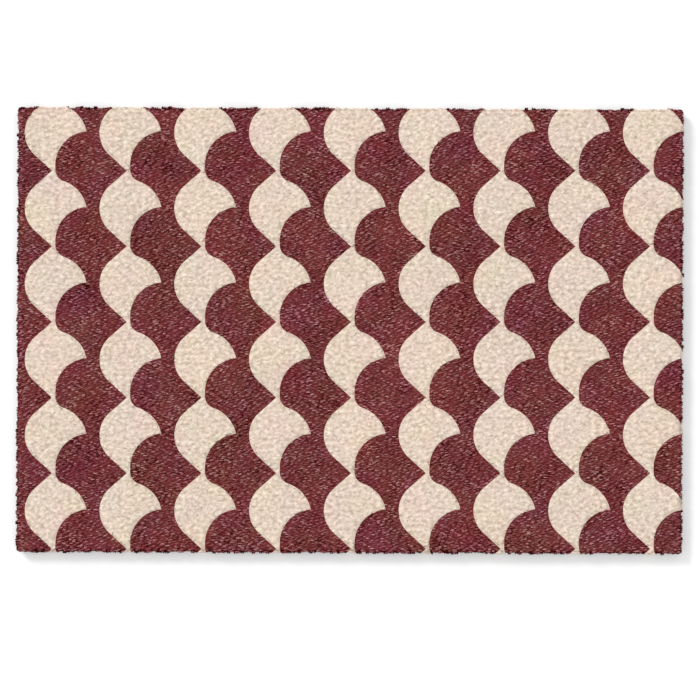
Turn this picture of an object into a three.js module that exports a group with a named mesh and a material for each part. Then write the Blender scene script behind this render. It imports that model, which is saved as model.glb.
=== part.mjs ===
// A doormat: one flat sheet of short dense pile with small round corners and a ragged cut rim.
// Millimetres, +X along the long sides, +Y towards the far long side, +Z up.
// The origin is on the floor, below the middle of the mat.

import * as THREE from "three";

// Driving dimensions
const matLength = 600; // along X, over the tuft ends
const matWidth = 400; // along Y, over the tuft ends
const matHeight = 10; // from the floor to the tops of the pile
const cornerRadius = 4;
const tuftPitch = 4.8; // along the rim, from one tuft to the next
const tuftReach = 1.4; // from the hollows between two tufts to the longest tuft end

// The cut line wanders a little to either side, in waves that close up once round the mat.
const rimWaves = [
  { turns: 23, depth: 0.25 },
  { turns: 41, depth: 0.2 },
];

// The rim's levels, from the floor up. A level stands in by its inset from the widest one, and
// shows this share of the tufts' own differences. The pile leans out over the cut backing and is
// worn round at its top.
const rimLevels = [
  { height: 0, inset: 1.2, tuftShare: 0.5 },
  { height: 6.5, inset: 0, tuftShare: 1 },
  { height: matHeight, inset: 1.8, tuftShare: 0.4 },
];

const goldenRatio = (1 + Math.sqrt(5)) / 2;

const pileColor = 0x733a3b;

// Evenly spaced points on a rectangle with round corners, anticlockwise seen from above: two for
// each tuft, one on its end and one in the hollow after it.
function cutLine() {
  const x = matLength / 2 - cornerRadius;
  const y = matWidth / 2 - cornerRadius;
  const outline = new THREE.Shape();
  outline.moveTo(x, -y - cornerRadius);
  outline.absarc(x, -y, cornerRadius, -Math.PI / 2, 0, false);
  outline.absarc(x, y, cornerRadius, 0, Math.PI / 2, false);
  outline.absarc(-x, y, cornerRadius, Math.PI / 2, Math.PI, false);
  outline.absarc(-x, -y, cornerRadius, Math.PI, 1.5 * Math.PI, false);
  outline.closePath();
  const tufts = Math.round(outline.getLength() / tuftPitch);
  return outline.getSpacedPoints(2 * tufts).slice(0, -1);
}

// How far each point's tuft stands out of the cut line. Multiples of the golden ratio give the
// tufts unlike lengths with no repeat.
function tuftOffset(index) {
  const spread = (index * goldenRatio) % 1;
  return index % 2 === 0 ? tuftReach * (0.4 + 0.6 * spread) : 0.25 * tuftReach * spread;
}

function waveOffset(index, count) {
  const turn = (2 * Math.PI * index) / count;
  return rimWaves.reduce((sum, wave) => sum + wave.depth * Math.sin(wave.turns * turn), 0);
}

// One level of the rim: the cut line with each point moved along its outward normal.
function rimAt(level, line) {
  const count = line.length;
  return line.map((point, index) => {
    const before = line[(index + count - 1) % count];
    const after = line[(index + 1) % count];
    const along = after.clone().sub(before).normalize();
    const outward = new THREE.Vector2(along.y, -along.x);
    const reach = tuftOffset(index) * level.tuftShare + waveOffset(index, count) - level.inset;
    const moved = point.clone().addScaledVector(outward, reach);
    return new THREE.Vector3(moved.x, moved.y, level.height);
  });
}

// The closed surface: the underside, a band of faces between each two levels, and the top.
function matGeometry() {
  const line = cutLine();
  const count = line.length;
  const rims = rimLevels.map((level) => rimAt(level, line));
  const underMiddle = new THREE.Vector3(0, 0, 0);
  const topMiddle = new THREE.Vector3(0, 0, matHeight);
  const points = [...rims.flat(), underMiddle, topMiddle];
  const underIndex = points.length - 2;
  const topIndex = points.length - 1;
  const topRim = (rims.length - 1) * count;

  const faces = [];
  for (let i = 0; i < count; i++) {
    const next = (i + 1) % count;
    faces.push(underIndex, next, i);
    faces.push(topIndex, topRim + i, topRim + next);
    for (let level = 0; level < rims.length - 1; level++) {
      const low = level * count;
      const high = low + count;
      faces.push(low + i, low + next, high + next);
      faces.push(low + i, high + next, high + i);
    }
  }

  const geometry = new THREE.BufferGeometry().setFromPoints(points);
  geometry.setIndex(faces);
  return geometry;
}

// The tuft ends differ, so the finished rim is brought to the stated length and width, with its
// middle over the origin.
function fitToSize(geometry) {
  geometry.computeBoundingBox();
  const size = geometry.boundingBox.getSize(new THREE.Vector3());
  const middle = geometry.boundingBox.getCenter(new THREE.Vector3());
  geometry.translate(-middle.x, -middle.y, 0);
  geometry.scale(matLength / size.x, matWidth / size.y, 1);
  geometry.computeVertexNormals();
  return geometry;
}

const pileMaterial = new THREE.MeshStandardMaterial({
  color: pileColor,
  roughness: 0.95,
  metalness: 0,
});

const mat = new THREE.Mesh(fitToSize(matGeometry()), pileMaterial);
mat.name = "mat";

const group = new THREE.Group();
group.add(mat);

export default group;
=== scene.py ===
"""A doormat of short dense pile, maroon with a cream repeat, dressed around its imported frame.

Metres, in the frame's axes: +X along the long sides, +Y towards the top edge of the photo, +Z up.
The pile is thousands of small lying tufts in joined meshes, on a lumpy ground, inside a rim of
upright strands. The repeat is a formula that both places the tufts and colours their material.
"""

import math

import bpy
import numpy as np
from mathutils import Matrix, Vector


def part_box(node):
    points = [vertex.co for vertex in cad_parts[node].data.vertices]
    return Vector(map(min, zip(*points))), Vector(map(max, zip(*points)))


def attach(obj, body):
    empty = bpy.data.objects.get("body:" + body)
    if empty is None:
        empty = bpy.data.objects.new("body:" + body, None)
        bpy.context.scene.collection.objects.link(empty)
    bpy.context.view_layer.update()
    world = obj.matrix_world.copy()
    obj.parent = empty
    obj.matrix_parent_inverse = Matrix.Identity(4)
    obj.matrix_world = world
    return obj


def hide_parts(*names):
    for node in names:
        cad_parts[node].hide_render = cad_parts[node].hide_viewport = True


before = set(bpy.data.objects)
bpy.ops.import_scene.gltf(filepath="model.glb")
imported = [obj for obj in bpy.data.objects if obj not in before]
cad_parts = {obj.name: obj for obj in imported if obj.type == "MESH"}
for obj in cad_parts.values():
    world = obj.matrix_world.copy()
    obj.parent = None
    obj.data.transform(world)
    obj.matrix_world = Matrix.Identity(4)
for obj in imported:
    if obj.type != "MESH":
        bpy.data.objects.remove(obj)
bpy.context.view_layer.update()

MM = 0.001

# The mat's outline comes from the frame. The pile fans out a little past it.
half_length, half_width, mat_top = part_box("mat")[1]
fan_out = (0.35 * MM, 1.2 * MM)  # past the short sides and past the long ones
reach_x = half_length + fan_out[0]
reach_y = half_width + fan_out[1]
corner_radius = 5 * MM  # before the tuft ends fill the corners a little
corner_steps = 12

# The repeat: rows of cream drops on maroon. A drop is measured from the middle of its head, to the
# right and down. The first drop is the top left one, measured from the middle of the mat.
first_drop = (-263.83 * MM, 177.58 * MM)
drop_pitch = (67.1 * MM, 67.85 * MM)
repeat_turn = 0.0041  # radians from the cut edges to the repeat's rows, which lie slightly askew
head_centre = (-1.0 * MM, -0.1 * MM)
head_radius = 26.9 * MM
notch = (-3.5 * MM, -33.7 * MM)  # where a drop's left side meets that of the drop above
scale_centre = (30.2 * MM, 29.2 * MM)  # of the round maroon scale to the right and below
scale_radius = 30.6 * MM
toe_radius = 11.0 * MM  # of the scale's lower left corner
toe_level = 33.0 * MM  # how far down the middle of that corner is
shoulder_radius = 30.9 * MM  # of the drop's upper right side
tip_x = 27.5 * MM  # how far to the right the drop ends in its tip

# The ground that the tufts lie on
ground_inset = 2.6 * MM
ground_grid = 2.5 * MM
ground_shade = 0.42  # as a tuft's, from 0 for the darkest to 1 for the lightest
ground_seed = 21
backing_height = 1.6 * MM
backing_inset = 1.7 * MM

# Tufts on the maroon lie in rows. Those on the cream are broader, flatter and curl every way.
dark_tufts = {
    "pitch": (6.46 * MM, 0.897 * MM),  # along a row, and from row to row
    "light_jitter": (0.18, 0.2),  # how far a light tuft strays from its place, in pitches
    "dim_jitter": (0.5, 0.5),  # and a dim one
    "length": 4.3 * MM,
    "width": 1.55 * MM,
    "height": 1.0 * MM,  # from its foot to just over its crest
    "droop": 0.7 * MM,  # of its ends, below its middle
    "sink": 0.6 * MM,  # of the lowest tuft, below the highest
    "ground": 8.9 * MM,  # the level of the ground below the tufts
    "lump": 0.4 * MM,  # and how uneven that is
    "lay": 0.12,  # how far they are turned from the long sides, in radians
    "turn": 0.22,  # how much more or less than that a tuft may be turned
    "roll": 0.3 * MM,  # how far one of its sides may be raised and the other lowered
    "bend": 0.3 * MM,  # how far it may curve to a side
    "light_every": 2,  # one tuft in this many rows and this many columns is light
    "light_shade": (0.25, 1.0),
    "dim_shade": (0.0, 0.7),
    "seed": 11,
}
pale_tufts = {
    "pitch": (4.2 * MM, 2.8 * MM),
    "light_jitter": (0.5, 0.5),
    "dim_jitter": (0.5, 0.5),
    "length": 5.4 * MM,
    "width": 3.5 * MM,
    "height": 0.24 * MM,
    "droop": 0.14 * MM,
    "sink": 0.1 * MM,
    "ground": 9.86 * MM,
    "lump": 0.1 * MM,
    "lay": 0.0,
    "turn": 0.9,
    "roll": 0.05 * MM,
    "bend": 0.5 * MM,
    "light_every": 1,
    "light_shade": (0.0, 1.0),
    "dim_shade": (0.0, 1.0),
    "seed": 12,
}
tuft_spread = {"length": 0.28, "width": 0.16, "height": 0.1, "droop": 0.25}  # shares either way
row_shift = 0.723  # of each row past the one below, in pitches
long_turn = 0.08  # radians that the tufts' way to lie drifts by, in long waves over the mat
long_waves = (31 * MM, 47 * MM)  # one radian of them along X and along Y
long_swing = 2.0  # radians that those along Y push those along X on and back
short_turn = 0.05  # the same in shorter waves
short_waves = (83 * MM, 23 * MM)
end_inset = (0.45 * MM, 2.55 * MM)  # of the lying tufts' ends from the outline
moved_in = 0.35  # how far past this a tuft may be to be moved in, in pitches, and not left out
near_end = 0.4  # from a tuft's middle to where its ends are looked up in the repeat, in lengths
edge_drop = 0.5 * MM  # how much lower the lying tufts are at the outline
edge_reach = 4 * MM  # and how far in from it this fades away
pile_bands = 6  # pieces that the tufts are divided into, from the lower edge to the upper one

# The rim's strands stand upright in bunches, some of which stick out further
bunch_pitch = 3.2 * MM
bunch_size = 2
bunch_reach = 2.2 * MM  # from the innermost bunch to the outermost
strand_reach = 0.5 * MM  # the same for the strands of a bunch
strand_foot = 1.2 * MM  # above the floor
strand_length = 8.4 * MM
strand_depth = 2.2 * MM
strand_bow = 1.0 * MM  # from a strand's most outward place back to its ends
strand_crown = 0.3  # where that place is, from -1 at the foot to 1 at the top
strand_lean = 0.12  # radians either way along the rim
strand_outward = 0.08  # and outwards
strand_bend = 0.3 * MM
strand_roll = 0.2 * MM
strand_spread = {"length": (0.94, 1.0), "width": (1.15, 1.5), "bow": (0.7, 1.2)}  # shares of the sizes
# Painted shade: the maroon rim strands are painted darker than the lying tufts, as the rim's sides fall
# in shade
strand_painted_shade = 0.4  # the lightest of the maroon strands, beside 1 for the lying tufts
# Painted light: the cream rim strands are painted lighter, against the shade on the rim's sides
strand_painted_light = 0.25  # how much lighter the cream ones are than the lying tufts
cream_width = 1.4  # of the cream strands, beside 1 for the maroon ones
cream_calm = 0.7  # how far the cream bunches keep to the middle of their reach
corner_calm = (4 * MM, 12 * MM)  # nearer a corner than the first all bunches do, past the second none
inner_inset = 2.0 * MM  # from the outer strands to the inner ones
outer_seed = 31
inner_seed = 32

# Colours as they are to show on screen, from 0 to 255, from a tuft's foot to its crest: the dark ends
# are painted shade at the foot and the light ends a painted highlight on the crest
dark_ramp = ((0.16, (56, 0, 0)), (0.25, (115, 44, 46)), (0.7, (138, 74, 76)), (1.0, (191, 134, 136)))
pale_ramp = ((0.0, (191, 172, 153)), (0.5, (226, 207, 190)), (1.0, (253, 236, 219)))
dark_tint = (0.3, 0.7, 0.65)  # how far red, green and blue wander over the maroon
pale_tint = (0.13, 0.15, 0.18)  # and over the cream

# What sets a place's level on its ramp: a start, and a weight for each part, which are the yarn's
# differences and painted light, a highlight on each crest and shade at each foot
dark_mix = {"start": 0.02, "painted_crest_light": 0.42, "shade": 0.55, "streaks": 0.7, "drift": 0.22}
pale_mix = {
    "start": 0.33,
    "painted_crest_light": 0.1,
    "shade": 0.1,
    # painted light on the cream rim strands
    "painted_rim_light": 1.0,
    # painted shade: mottles standing in for the shade between the cream's flattened tufts
    "painted_shade_mottles": 1.5,
    "streaks": 0.2,
    "drift": 0.15,
}
streak_scale = (400, 1500, 97)  # along the fibres, across them, and from tuft to tuft
# Painted shade mottles on the cream, in place of the shade in its pile's gaps
painted_mottle_scale = (245, 312, 300)  # along X, Y and Z, in waves for each metre
painted_mottle_detail = 1.0
drift_scale = 38
tint_scale = 34
patch_scale = 90
patch_reach = 1.3  # how much the maroon's contrast differs from patch to patch
patch_level = 0.42  # the level that stays the same in every patch

# The yarn's finish
yarn_roughness = 0.85
streak_roughness = 0.2  # what a streak of strength 1 adds to it
yarn_specular = 0.05
yarn_sheen = 0.02
sheen_roughness = 0.5
streak_bump = (0.6, 0.06 * MM)  # its strength and its depth

# The backing's finish, plain and matt with a fine grain
backing_color = (58, 56, 55)
grain_scale = 900
grain_detail = 4.0
grain_shades = (0.8, 1.2)  # of the backing's colour, where the grain is 0 and where it is 1
backing_roughness = 0.75
grain_roughness = 0.15  # what a grain of 1 adds to it
grain_bump = (0.4, 0.2 * MM)

floor_albedo = 0.8
floor_roughness = 0.9
floor_reach = 8.0
light_gain = 1.395  # the floor is shown this many times as bright as its own colour
pile_light = 0.92  # the share of this that the pile keeps, with its tufts shading each other

# The camera looks straight down. The picture's middle is a little below the mat's.
lens_mm = 120
sensor_mm = 36
view_width = 0.6279  # at the top of the pile
view_middle = (0.2 * MM, -17.4 * MM)

# The light is an even white sky, a soft top light, and a soft key from the picture's upper left
sky_share, top_share, key_share = 0.58, 0.18, 0.24
top_softness = math.radians(30)
key_height = math.radians(28)
key_softness = math.radians(20)


def linear(color):
    """A display colour from 0 to 255 as a linear one from 0 to 1."""
    shares = [c / 255 for c in color]
    return [c / 12.92 if c <= 0.04045 else ((c + 0.055) / 1.055) ** 2.4 for c in shares]


class Field:
    """A number that differs from point to point of a surface, worked out by math nodes."""

    def __init__(self, tree, socket):
        self.tree = tree
        self.socket = socket

    def math(self, operation, *others):
        node = self.tree.nodes.new("ShaderNodeMath")
        node.operation = operation
        for socket, value in zip(node.inputs, (self, *others)):
            if isinstance(value, Field):
                self.tree.links.new(value.socket, socket)
            else:
                socket.default_value = value
        return Field(self.tree, node.outputs[0])

    def __add__(self, other):
        return self.math("ADD", other)

    def __sub__(self, other):
        return self.math("SUBTRACT", other)

    def __mul__(self, other):
        return self.math("MULTIPLY", other)

    def __neg__(self):
        return self * -1.0

    def __lt__(self, other):
        return self.math("LESS_THAN", other)


# The next four work on arrays and on fields alike


def root(value):
    if isinstance(value, Field):
        return value.math("MAXIMUM", 0.0).math("SQRT")
    return np.sqrt(np.maximum(value, 0.0))


def at_most(value, limit):
    if isinstance(value, Field):
        return value.math("MINIMUM", limit)
    return np.minimum(value, limit)


def wrapped(value, low, size):
    """The value moved by whole sizes to between low and low + size."""
    if isinstance(value, Field):
        return value.math("WRAP", low + size, low)
    return low + (value - low) % size


def chosen(yes, value, other):
    """value where yes is 1, and other where it is 0."""
    return (value - other) * yes + other


def touch_point(centre, radius, point):
    """Where a line from the point touches a circle, on the circle's left."""
    across, down = point[0] - centre[0], point[1] - centre[1]
    turn = math.acos(radius / math.hypot(across, down))
    angle = math.atan2(down, across)
    touches = [
        (centre[0] + radius * math.cos(angle + side), centre[1] + radius * math.sin(angle + side))
        for side in (turn, -turn)
    ]
    return min(touches)


def on_line(start, end, level):
    """How far to the right the line from start to end is at a level."""
    slope = (end[0] - start[0]) / (end[1] - start[1])
    return (level - start[1]) * slope + start[0]


def half_chord(level, centre_level, radius):
    """How far to either side a circle reaches at a level."""
    off = level - centre_level
    return root(-(off * off) + radius**2)


def drop_left(down):
    """A drop's left side: a line from the notch, the round head, and a line to the next notch."""
    level = wrapped(down, notch[1], drop_pitch[1])
    next_notch = (notch[0], notch[1] + drop_pitch[1])
    upper = touch_point(head_centre, head_radius, notch)
    lower = touch_point(head_centre, head_radius, next_notch)
    head = -half_chord(level, head_centre[1], head_radius) + head_centre[0]
    below = chosen(level < lower[1], head, on_line(lower, next_notch, level))
    return chosen(level < upper[1], on_line(notch, upper, level), below)


def shoulder_centre(toe, tip):
    """The middle of the shoulder's arc, which leaves the toe's circle smoothly and ends in the tip."""
    apart = math.dist(toe, tip)
    reach = shoulder_radius + toe_radius
    along = (reach**2 - shoulder_radius**2 + apart**2) / (2 * apart)
    aside = math.sqrt(reach**2 - along**2)
    step = ((tip[0] - toe[0]) / apart, (tip[1] - toe[1]) / apart)
    return (toe[0] + along * step[0] - aside * step[1], toe[1] + along * step[1] + aside * step[0])


def drop_right(down):
    """A drop's right side: round the toe of the scale above, over the shoulder to the tip, and back
    along the scale below."""
    level = wrapped(down, toe_level - drop_pitch[1], drop_pitch[1])
    tip = (tip_x, scale_centre[1] - math.sqrt(scale_radius**2 - (tip_x - scale_centre[0]) ** 2))
    toe = (scale_centre[0] - scale_radius + toe_radius, toe_level - drop_pitch[1])
    shoulder = shoulder_centre(toe, tip)
    toe_end = toe[1] + toe_radius * (shoulder[1] - toe[1]) / (shoulder_radius + toe_radius)

    round_toe = -half_chord(level, toe[1], toe_radius) + toe[0]
    over_shoulder = half_chord(level, shoulder[1], shoulder_radius) + shoulder[0]
    scale_level = at_most(level, scale_centre[1])
    round_scale = -half_chord(scale_level, scale_centre[1], scale_radius) + scale_centre[0]
    below = chosen(level < tip[1], over_shoulder, round_scale)
    return chosen(level < toe_end, round_toe, below)


def on_drop(x, y):
    """1 on cream and 0 on maroon at a place on the mat."""
    across = wrapped(x + y * repeat_turn - first_drop[0], -drop_pitch[0] / 2, drop_pitch[0])
    down = x * repeat_turn - y + first_drop[1]
    return (drop_left(down) < across) * (across < drop_right(down))


# One tuft runs from tip to tip over three rings. Its section is a low arch on a flat foot.
ring_places = (-0.62, 0.0, 0.62)  # the tips are at -1 and 1
ring_widths = (0.86, 1.0, 0.86)
# The tips get part of the painted crest light, so they are painted darker than a tuft's middle
tip_up, tip_painted_light = -0.7, 0.3
# The section's columns: aside, up, and painted crest light, from 0 for painted shade at the foot to 1
# for a painted highlight on the crest
section = ((-1.0, -1.0, 0.0), (-0.5, -0.1, 1.0), (0.5, -0.1, 1.0), (1.0, -1.0, 0.0))  # aside, up, crest
bend_middle = 0.35  # keeps a bent tuft's mean place where it was

# A UV map of this name, for baking a piece's finish, where each tuft has a square cell
bake_map_name = "OFBake"
ring_map = (0.2, 0.5, 0.8)  # where the rings are along the cell
section_map = (0.0, 0.3, 0.6, 0.9, 1.0)  # and where their section's corners are across it
cell_gap = 0.04


def tuft_template():
    """One tuft's points as along, aside, up and painted crest light (0 for painted shade at the foot, 1
    for a painted highlight on the crest), its faces, and their places in its cell of the bake map. The
    fourth corner of a triangle is -1."""
    points = [
        (place, width * aside, up, painted_crest_light)
        for place, width in zip(ring_places, ring_widths)
        for aside, up, painted_crest_light in section
    ]
    sides = len(section)
    tips = (len(points), len(points) + 1)
    points += [(-1.0, 0.0, tip_up, tip_painted_light), (1.0, 0.0, tip_up, tip_painted_light)]
    last = len(points) - 2 - sides
    faces = []
    cells = []
    for corner in range(sides):
        after = (corner + 1) % sides
        low, high = section_map[corner], section_map[corner + 1]
        middle = (low + high) / 2
        faces.append((tips[0], after, corner, -1))
        cells.append(((0.0, middle), (ring_map[0], high), (ring_map[0], low), (0.0, 0.0)))
        faces.append((tips[1], last + corner, last + after, -1))
        cells.append(((1.0, middle), (ring_map[-1], low), (ring_map[-1], high), (0.0, 0.0)))
        for ring in range(len(ring_places) - 1):
            here, there = ring * sides, (ring + 1) * sides
            start, end = ring_map[ring], ring_map[ring + 1]
            faces.append((here + corner, here + after, there + after, there + corner))
            cells.append(((start, low), (start, high), (end, high), (end, low)))
    return np.array(points), np.array(faces), np.array(cells)


def tuft_piece(name, tufts):
    """A piece of many tufts, from arrays with a row for each. A tuft's at is a place just over the
    middle of its crest, and along, aside and up are its directions. It is length by width by height.
    bend curves it to a side, droop lowers its ends below its highest place, which crown puts between
    -1 and 1 along it, and roll tips it over. Its painted crest light, shade and painted rim light go to
    the material: a painted highlight on the crest with painted shade at the foot, its tone, and painted
    light on the cream rim strands."""
    template, template_faces, template_cells = tuft_template()
    count = len(tufts["shade"])
    along, aside, up, painted_crest_light = template.T
    size = {key: value[:, None] for key, value in tufts.items() if value.ndim == 1}
    run = along * size["length"] / 2
    shift = aside * size["width"] / 2 + size["bend"] * (along**2 - bend_middle)
    rise = up * size["height"] - size["droop"] * (along - size["crown"]) ** 2 + aside * size["roll"]
    points = (
        tufts["at"][:, None, :]
        + run[..., None] * tufts["along"][:, None, :]
        + shift[..., None] * tufts["aside"][:, None, :]
        + rise[..., None] * tufts["up"][:, None, :]
    )
    first_point = np.arange(count)[:, None, None] * len(template)
    faces = np.where(template_faces >= 0, template_faces + first_point, -1).reshape(-1, 4)
    fibre = np.stack([run, shift + rise, np.broadcast_to(size["shade"], run.shape)], axis=-1)
    values = {
        "painted_crest_light": (painted_crest_light * tufts["painted_crest_light"][:, None]).ravel(),
        "shade": np.repeat(tufts["shade"], len(template)),
        "painted_rim_light": np.repeat(tufts["painted_rim_light"], len(template)),
        "fibre": fibre.reshape(-1, 3),
    }
    cells_across = math.ceil(math.sqrt(count))
    cell = np.stack(np.divmod(np.arange(count), cells_across), axis=-1)
    bake_map = cell[:, None, None, :] + cell_gap + (1 - 2 * cell_gap) * template_cells
    bake_map = bake_map.reshape(-1, 4, 2) / cells_across
    return mesh_piece(name, points.reshape(-1, 3), faces, values, bake_map)


def mesh_piece(name, points, faces, values, bake_map=None):
    """A smooth mesh from arrays: its points, its faces as rows of four point numbers with -1 last in
    a triangle, each point's values under their attributes' names, and each corner's bake map."""
    used = faces >= 0
    corners = used.sum(axis=1)
    mesh = bpy.data.meshes.new(name)
    mesh.vertices.add(len(points))
    mesh.vertices.foreach_set("co", points.astype(np.float32).ravel())
    mesh.loops.add(int(corners.sum()))
    mesh.loops.foreach_set("vertex_index", faces[used].astype(np.int32))
    mesh.polygons.add(len(faces))
    mesh.polygons.foreach_set("loop_start", (np.cumsum(corners) - corners).astype(np.int32))
    mesh.update(calc_edges=True)
    mesh.shade_smooth()
    for attribute, value in values.items():
        value_type, field = ("FLOAT", "value") if value.ndim == 1 else ("FLOAT_VECTOR", "vector")
        layer = mesh.attributes.new(attribute, value_type, "POINT")
        layer.data.foreach_set(field, value.astype(np.float32).ravel())
    if bake_map is not None:
        layer = mesh.uv_layers.new(name=bake_map_name)
        layer.uv.foreach_set("vector", bake_map[used].astype(np.float32).ravel())
    piece = bpy.data.objects.new(name, mesh)
    bpy.context.scene.collection.objects.link(piece)
    return piece


def slow_turn(x, y):
    """How far the tufts' way to lie has drifted at each place, in radians."""
    swing = long_swing * np.sin(y / long_waves[1])
    long_part = long_turn * np.sin(x / long_waves[0] + swing)
    short_part = short_turn * np.sin(y / short_waves[1] + x / short_waves[0])
    return long_part + short_part


def flat_directions(heading):
    """Directions along and across a heading, and up."""
    zero = np.zeros_like(heading)
    along = np.stack([np.cos(heading), np.sin(heading), zero], axis=-1)
    aside = np.stack([-np.sin(heading), np.cos(heading), zero], axis=-1)
    return along, aside, np.stack([zero, zero, zero + 1], axis=-1)


def row_places(kind, draw):
    """Places in staggered rows with some disorder, and which of them have light tufts."""
    pitch_along, pitch_across = kind["pitch"]
    columns = math.ceil(2 * reach_x / pitch_along) + 2  # two more than fit, for the rows' shift
    rows = round(2 * reach_y / pitch_across)
    row, column = np.divmod(np.arange(rows * columns), columns)
    in_line = column - np.floor(row * row_shift)
    light = (in_line % kind["light_every"] == 0) & (row % kind["light_every"] == 0)
    jitter_along, jitter_across = np.where(light[:, None], kind["light_jitter"], kind["dim_jitter"]).T
    stray_along = jitter_along * draw.uniform(-1, 1, len(row))
    stray_across = jitter_across * draw.uniform(-1, 1, len(row))
    x = (column - (columns - 1) / 2 + row * row_shift % 1 + stray_along) * pitch_along
    y = (row - (rows - 1) / 2 + stray_across) * pitch_across
    return x, y, light


def brought_inside(kind, x, y, heading, length, width, inset):
    """The places with those of tufts that would pass the outline moved in, and which ones to keep:
    tufts far past it, or past its round corners, are left out."""
    pitch_along, pitch_across = kind["pitch"]
    run_x = np.abs(np.cos(heading)) * length / 2 + np.abs(np.sin(heading)) * width / 2
    run_y = np.abs(np.sin(heading)) * length / 2 + np.abs(np.cos(heading)) * width / 2
    room_x = reach_x - inset - run_x
    room_y = reach_y - inset - run_y
    near_x = np.abs(x) < room_x + moved_in * pitch_along
    near_y = np.abs(y) < room_y + moved_in * pitch_across
    x = np.clip(x, -room_x, room_x)
    y = np.clip(y, -room_y, room_y)
    past_x = np.maximum(np.abs(x) + run_x - reach_x + corner_radius, 0)
    past_y = np.maximum(np.abs(y) + run_y - reach_y + corner_radius, 0)
    return x, y, near_x & near_y & (np.hypot(past_x, past_y) < corner_radius)


def in_color(x, y, heading, length, cream):
    """Which tufts are of the cream, with their ends too, or else of the maroon."""
    if not cream:
        return on_drop(x, y) < 0.5
    off_x = near_end * length * np.cos(heading)
    off_y = near_end * length * np.sin(heading)
    places = ((x, y), (x - off_x, y - off_y), (x + off_x, y + off_y))
    return np.all([on_drop(*place) > 0.5 for place in places], axis=0)


def lying_tufts(kind, cream):
    """The tufts of one kind, all over the part of the mat that the repeat gives their colour."""
    draw = np.random.default_rng(kind["seed"])
    x, y, light = row_places(kind, draw)
    count = len(x)

    def spread(size):
        return draw.uniform(-size, size, count)

    def spread_size(name):
        return kind[name] * (1 + spread(tuft_spread[name]))

    heading = kind["lay"] + spread(kind["turn"]) + slow_turn(x, y)
    light_shade = draw.uniform(*kind["light_shade"], count)
    dim_shade = draw.uniform(*kind["dim_shade"], count)
    length = spread_size("length")
    width = spread_size("width")
    inset = draw.uniform(*end_inset, count)
    x, y, inside = brought_inside(kind, x, y, heading, length, width, inset)
    keep = inside & in_color(x, y, heading, length, cream)

    from_edge = np.minimum(reach_x - np.abs(x) - length / 2, reach_y - np.abs(y))
    edge_share = np.clip(1 - from_edge / edge_reach, 0, 1)
    top = mat_top - kind["sink"] * draw.random(count) - edge_drop * edge_share
    along, aside, up = flat_directions(heading)
    tufts = {
        "at": np.stack([x, y, top], axis=-1),
        "along": along,
        "aside": aside,
        "up": up,
        "length": length,
        "width": width,
        "height": spread_size("height"),
        "bend": spread(kind["bend"]),
        "droop": spread_size("droop"),
        "crown": np.zeros(count),
        "roll": spread(kind["roll"]),
        # Painted light at full strength: a highlight on each crest and shade at each foot
        "painted_crest_light": np.ones(count),
        "shade": np.where(light, light_shade, dim_shade),
        "painted_rim_light": np.zeros(count),
    }
    return {key: value[keep] for key, value in tufts.items()}


def joined(parts):
    return {key: np.concatenate([part[key] for part in parts]) for key in parts[0]}


def make_pile():
    """The lying tufts, in bands from the lower edge to the upper one."""
    tufts = joined([lying_tufts(dark_tufts, False), lying_tufts(pale_tufts, True)])
    band = (tufts["at"][:, 1] + half_width) / (2 * half_width) * pile_bands
    band = np.clip(band.astype(int), 0, pile_bands - 1)
    return [
        tuft_piece(f"pile_{number + 1}", {key: value[band == number] for key, value in tufts.items()})
        for number in range(pile_bands)
    ]


def outline_places(count, inset):
    """Places evenly spaced round the outline moved in by the inset, and the way each faces."""
    corner = np.repeat(np.arange(4), corner_steps)
    turns = np.concatenate([np.linspace(turn, turn + 1, corner_steps) for turn in range(4)])
    facing = turns * math.pi / 2
    middle_x = (reach_x - corner_radius) * np.array([1, -1, -1, 1])[corner]
    middle_y = (reach_y - corner_radius) * np.array([1, 1, -1, -1])[corner]
    x = middle_x + (corner_radius - inset) * np.cos(facing)
    y = middle_y + (corner_radius - inset) * np.sin(facing)
    x, y, facing = np.append(x, x[0]), np.append(y, y[0]), np.append(facing, 2 * math.pi)
    gone = np.concatenate([[0.0], np.cumsum(np.hypot(np.diff(x), np.diff(y)))])
    wanted = (np.arange(count) + 0.5) / count * gone[-1]
    return np.interp(wanted, gone, x), np.interp(wanted, gone, y), np.interp(wanted, gone, facing)


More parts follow.
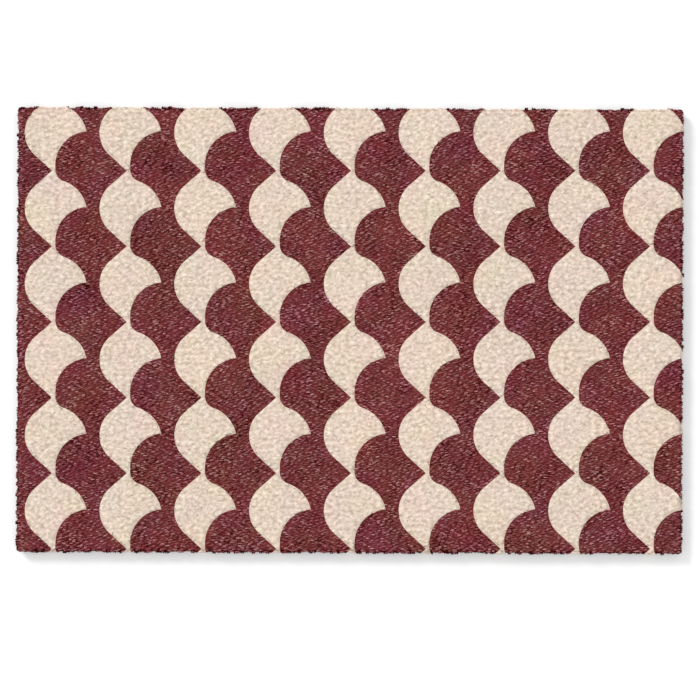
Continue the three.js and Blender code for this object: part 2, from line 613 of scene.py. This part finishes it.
def rim_strands(inset, bunched, seed):
    """Upright strands side by side round the rim, in bunches that stand out or in an even row."""
    draw = np.random.default_rng(seed)
    bunches = round(4 * (half_length + half_width) / bunch_pitch)
    count = bunches * bunch_size
    x, y, facing = outline_places(count, inset)
    cream = on_drop(x, y)
    from_corner = np.hypot(reach_x - np.abs(x), reach_y - np.abs(y))
    calm = np.maximum(cream_calm * cream, np.interp(from_corner, corner_calm, (1.0, 0.0)))

    # How far each strand stands back from the outline
    back = bunch_reach * np.repeat(draw.random(bunches), bunch_size) if bunched else np.zeros(count)
    back = back + calm * (back.mean() - back) + strand_reach * draw.random(count)

    out, round_way, up = flat_directions(facing)
    lean = draw.uniform(-strand_lean, strand_lean, count)[:, None]
    upward = math.cos(strand_outward) * up + math.sin(strand_outward) * out
    outward = math.cos(strand_outward) * out - math.sin(strand_outward) * up
    length = strand_length * draw.uniform(*strand_spread["length"], count)
    width = bunch_pitch / bunch_size * draw.uniform(*strand_spread["width"], count)
    return {
        "at": np.stack([x, y, strand_foot + length / 2], axis=-1) - back[:, None] * out,
        "along": np.cos(lean) * upward + np.sin(lean) * round_way,
        "aside": np.cos(lean) * round_way - np.sin(lean) * upward,
        "up": outward,
        "length": length,
        "width": width * np.where(cream > 0.5, cream_width, 1),
        "height": np.full(count, strand_depth),
        "bend": draw.uniform(-strand_bend, strand_bend, count),
        "droop": strand_bow * draw.uniform(*strand_spread["bow"], count),
        "crown": np.full(count, strand_crown),
        "roll": draw.uniform(-strand_roll, strand_roll, count),
        # Painted shade: no crest light and a darker shade than the lying tufts; on the cream, painted
        # light instead
        "painted_crest_light": np.zeros(count),
        "shade": strand_painted_shade * draw.random(count),
        "painted_rim_light": np.full(count, strand_painted_light),
    }


def make_rim():
    """The outer strands in bunches, and an even row of them behind."""
    outer = rim_strands(inset=0.0, bunched=True, seed=outer_seed)
    inner = rim_strands(inset=inner_inset, bunched=False, seed=inner_seed)
    return tuft_piece("rim", joined([outer, inner]))


def with_round_corners(x, y, inset):
    """Places past the mat's round corners moved in by the inset, brought back to them."""
    past_x = np.maximum(np.abs(x) - half_length + corner_radius, 0)
    past_y = np.maximum(np.abs(y) - half_width + corner_radius, 0)
    excess = 1 - 1 / np.maximum(np.hypot(past_x, past_y) / (corner_radius - inset), 1)
    return x - np.sign(x) * past_x * excess, y - np.sign(y) * past_y * excess


def ground_top():
    """The lumpy top as a grid of points, and the same grid before its corners were made round."""
    x_side, y_side = half_length - ground_inset, half_width - ground_inset
    columns = round(2 * x_side / ground_grid) + 1
    rows = round(2 * y_side / ground_grid) + 1
    x, y = np.meshgrid(np.linspace(-x_side, x_side, columns), np.linspace(-y_side, y_side, rows))
    cream = on_drop(x, y) > 0.5
    level = np.where(cream, pale_tufts["ground"], dark_tufts["ground"])
    lump = np.where(cream, pale_tufts["lump"], dark_tufts["lump"])
    top = level - lump * np.random.default_rng(ground_seed).random(x.shape)
    return np.stack([*with_round_corners(x, y, ground_inset), top], axis=-1), x / x_side, y / y_side


def make_ground():
    """The closed slab under the tufts. Returns the number of its pile faces too, which come before
    those of the backing."""
    grid, across, up = ground_top()
    number = np.arange(across.size).reshape(across.shape)
    quads = np.stack([number[:-1, :-1], number[:-1, 1:], number[1:, 1:], number[1:, :-1]], axis=-1)
    ring = np.concatenate([number[0, :-1], number[:-1, -1], number[-1, :0:-1], number[:0:-1, 0]])
    count = len(ring)
    top = grid.reshape(-1, 3)

    # Rings down the side: the pile's foot, the backing's upper edge and its lower one
    foot_x = across.ravel()[ring] * (half_length - backing_inset)
    foot_y = up.ravel()[ring] * (half_width - backing_inset)
    foot_x, foot_y = with_round_corners(foot_x, foot_y, backing_inset)
    waist = np.column_stack([top[ring, :2], np.full(count, backing_height)])
    shelf = np.column_stack([foot_x, foot_y, np.full(count, backing_height)])
    foot = np.column_stack([foot_x, foot_y, np.zeros(count)])
    rings = [ring] + [len(top) + step * count + np.arange(count) for step in range(3)]
    bands = [
        np.stack([below, np.roll(below, -1), np.roll(above, -1), above], axis=-1)
        for above, below in zip(rings, rings[1:])
    ]
    points = np.concatenate([top, waist, shelf, foot, [[0.0, 0.0, 0.0]]])
    middle = np.full(count, len(points) - 1)
    underside = np.stack([middle, np.roll(rings[-1], -1), rings[-1], np.full(count, -1)], axis=-1)

    pile_faces = np.concatenate([quads.reshape(-1, 4), bands[0]])
    backing_faces = np.concatenate([*bands[1:], underside])
    values = {
        # The ground between the tufts gets no crest light, so it is painted with the shade of a tuft's
        # foot
        "painted_crest_light": np.zeros(len(points)),
        "shade": np.full(len(points), ground_shade),
        "painted_rim_light": np.zeros(len(points)),
        "fibre": points,
    }
    piece = mesh_piece("ground", points, np.concatenate([pile_faces, backing_faces]), values)
    return piece, len(pile_faces)


def new_material(name):
    material = bpy.data.materials.new(name)
    material.use_nodes = True
    return material, material.node_tree, material.node_tree.nodes["Principled BSDF"]


def attribute_node(tree, name):
    node = tree.nodes.new("ShaderNodeAttribute")
    node.attribute_name = name
    return node


def attribute_field(tree, name):
    return Field(tree, attribute_node(tree, name).outputs["Fac"])


def noise(tree, vector, scale=1.0, detail=2.0):
    """Soft waves from about 0.2 to 0.8, with an average of 0.5."""
    node = tree.nodes.new("ShaderNodeTexNoise")
    node.inputs["Scale"].default_value = scale
    node.inputs["Detail"].default_value = detail
    tree.links.new(vector, node.inputs["Vector"])
    return Field(tree, node.outputs["Fac"])


def color_ramp(tree, field, stops):
    """The stops' colours by the field's level, divided by the light, so that they show as given."""
    node = tree.nodes.new("ShaderNodeValToRGB")
    elements = node.color_ramp.elements
    while len(elements) < len(stops):
        elements.new(0.5)
    for element, (place, color) in zip(elements, stops):
        element.position = place
        element.color = [c / (light_gain * pile_light) for c in linear(color)] + [1.0]
    tree.links.new(field.socket, node.inputs["Fac"])
    return node.outputs["Color"]


# The mix node has sockets of one name for numbers and for colours, so these are picked by place
mix_factor, mix_first, mix_second, mix_result = 0, 6, 7, 2


def mixed(tree, share, first, second, blend="MIX"):
    node = tree.nodes.new("ShaderNodeMix")
    node.data_type = "RGBA"
    node.blend_type = blend
    for place, value in ((mix_factor, share), (mix_first, first), (mix_second, second)):
        source = value.socket if isinstance(value, Field) else value
        if isinstance(source, bpy.types.NodeSocket):
            tree.links.new(source, node.inputs[place])
        else:
            node.inputs[place].default_value = source
    return node.outputs[mix_result]


def stretched(tree, vector, scale):
    node = tree.nodes.new("ShaderNodeMapping")
    node.inputs["Scale"].default_value = scale
    tree.links.new(vector, node.inputs["Vector"])
    return node.outputs["Vector"]


def tinted(tree, place, color, reach):
    """The color times 1, give or take half the reach of each channel, in slow waves."""
    waves = tree.nodes.new("ShaderNodeTexNoise")
    waves.inputs["Scale"].default_value = tint_scale
    tree.links.new(place, waves.inputs["Vector"])
    tint = tree.nodes.new("ShaderNodeVectorMath")
    tint.operation = "MULTIPLY_ADD"
    tree.links.new(waves.outputs["Color"], tint.inputs[0])
    tint.inputs[1].default_value = reach
    tint.inputs[2].default_value = [1 - r / 2 for r in reach]
    return mixed(tree, 1.0, color, tint.outputs["Vector"], "MULTIPLY")


def level_field(mix, parts):
    """The mix's start and each of its parts times its weight, added up."""
    level = mix["start"]
    for name, part in parts.items():
        if name in mix:
            level = part * mix[name] + level
    return level


def add_bump(tree, shader, height, strength, distance):
    bump = tree.nodes.new("ShaderNodeBump")
    bump.inputs["Strength"].default_value = strength
    bump.inputs["Distance"].default_value = distance
    tree.links.new(height.socket, bump.inputs["Height"])
    tree.links.new(bump.outputs["Normal"], shader.inputs["Normal"])


def pile_material():
    """Yarn, in the repeat's two colours, with a painted highlight on the tufts' crests and painted
    shade between them, painted shade mottles on the cream, painted light on its rim strands, streaks
    along the fibres and a slow drift of tint."""
    material, tree, shader = new_material("pile_yarn")
    place = tree.nodes.new("ShaderNodeTexCoord").outputs["Object"]
    axes = tree.nodes.new("ShaderNodeSeparateXYZ")
    tree.links.new(place, axes.inputs[0])
    cream = on_drop(Field(tree, axes.outputs["X"]), Field(tree, axes.outputs["Y"]))

    fibre = attribute_node(tree, "fibre").outputs["Vector"]
    # Painted light: highlights on the crests with shade at the feet, and a lighter colour on the cream
    # rim strands
    parts = {name: attribute_field(tree, name) for name in ("painted_crest_light", "shade", "painted_rim_light")}
    parts["streaks"] = noise(tree, stretched(tree, fibre, streak_scale)) - 0.5
    # Painted shade on the cream: mottles that stand in for the shade between its tufts
    parts["painted_shade_mottles"] = noise(tree, stretched(tree, place, painted_mottle_scale), detail=painted_mottle_detail) - 0.5
    parts["drift"] = noise(tree, place, drift_scale) - 0.5
    contrast = (noise(tree, place, patch_scale) - 0.5) * patch_reach + 1.0
    dark_level = (level_field(dark_mix, parts) - patch_level) * contrast + patch_level
    dark_color = color_ramp(tree, dark_level, dark_ramp)
    pale_color = color_ramp(tree, level_field(pale_mix, parts), pale_ramp)
    dark_color = tinted(tree, place, dark_color, dark_tint)
    pale_color = tinted(tree, place, pale_color, pale_tint)
    tree.links.new(mixed(tree, cream, dark_color, pale_color), shader.inputs["Base Color"])

    roughness = parts["streaks"] * streak_roughness + yarn_roughness
    tree.links.new(roughness.socket, shader.inputs["Roughness"])
    shader.inputs["Specular IOR Level"].default_value = yarn_specular
    shader.inputs["Sheen Weight"].default_value = yarn_sheen
    shader.inputs["Sheen Roughness"].default_value = sheen_roughness
    add_bump(tree, shader, parts["streaks"], *streak_bump)
    return material


def backing_material():
    material, tree, shader = new_material("backing")
    place = tree.nodes.new("ShaderNodeTexCoord").outputs["Object"]
    grain = noise(tree, place, grain_scale, grain_detail)
    dark, light = [[shade * c for c in linear(backing_color)] + [1.0] for shade in grain_shades]
    tree.links.new(mixed(tree, grain, dark, light), shader.inputs["Base Color"])
    roughness = grain * grain_roughness + backing_roughness
    tree.links.new(roughness.socket, shader.inputs["Roughness"])
    add_bump(tree, shader, grain, *grain_bump)
    return material


def make_floor():
    mesh = bpy.data.meshes.new("floor")
    corners = [(x * floor_reach, y * floor_reach, 0) for x, y in ((-1, -1), (1, -1), (1, 1), (-1, 1))]
    mesh.from_pydata(corners, [], [(0, 1, 2, 3)])
    floor = bpy.data.objects.new("floor", mesh)
    bpy.context.scene.collection.objects.link(floor)
    paint, _, shader = new_material("floor_paint")
    shader.inputs["Base Color"].default_value = (floor_albedo, floor_albedo, floor_albedo, 1.0)
    shader.inputs["Roughness"].default_value = floor_roughness
    shader.inputs["Specular IOR Level"].default_value = 0.0
    mesh.materials.append(paint)


def make_camera():
    camera = bpy.data.cameras.new("camera")
    camera.lens = lens_mm
    camera.sensor_width = sensor_mm
    holder = bpy.data.objects.new("camera", camera)
    distance = view_width * lens_mm / sensor_mm
    holder.location = (view_middle[0], view_middle[1], mat_top + distance)
    holder.rotation_euler = (0, 0, repeat_turn)  # the photo stands square to the repeat
    bpy.context.scene.collection.objects.link(holder)
    bpy.context.scene.camera = holder


def make_sun(name, share, softness, height):
    """A distant light that gives its share of the light on level ground, from the picture's upper
    left at a height in radians."""
    light = bpy.data.lights.new(name, "SUN")
    light.energy = share * light_gain * math.pi / math.sin(height)
    light.angle = softness
    holder = bpy.data.objects.new(name, light)
    flat = math.cos(height) / math.sqrt(2)
    toward_light = Vector((-flat, flat, math.sin(height)))
    holder.rotation_euler = toward_light.to_track_quat("Z", "Y").to_euler()
    bpy.context.scene.collection.objects.link(holder)


def make_light():
    world = bpy.data.worlds.new("studio")
    world.use_nodes = True
    background = world.node_tree.nodes["Background"]
    background.inputs["Color"].default_value = (1.0, 1.0, 1.0, 1.0)
    background.inputs["Strength"].default_value = sky_share * light_gain
    bpy.context.scene.world = world
    make_sun("top", top_share, top_softness, math.pi / 2)
    make_sun("key", key_share, key_softness, key_height)
    bpy.context.scene.view_settings.view_transform = "Standard"


def finish_piece(piece, materials):
    for material in materials:
        piece.data.materials.append(material)
    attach(piece, "root")


make_camera()
make_light()
make_floor()

yarn = pile_material()
ground, ground_pile_faces = make_ground()
pile = make_pile()
rim = make_rim()

# The ground's faces after those of its pile are the backing's, flat and of the second material
finish_piece(ground, [yarn, backing_material()])
for face in ground.data.polygons[ground_pile_faces:]:
    face.material_index = 1
    face.use_smooth = False

for piece in [*pile, rim]:
    finish_piece(piece, [yarn])
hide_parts("mat")
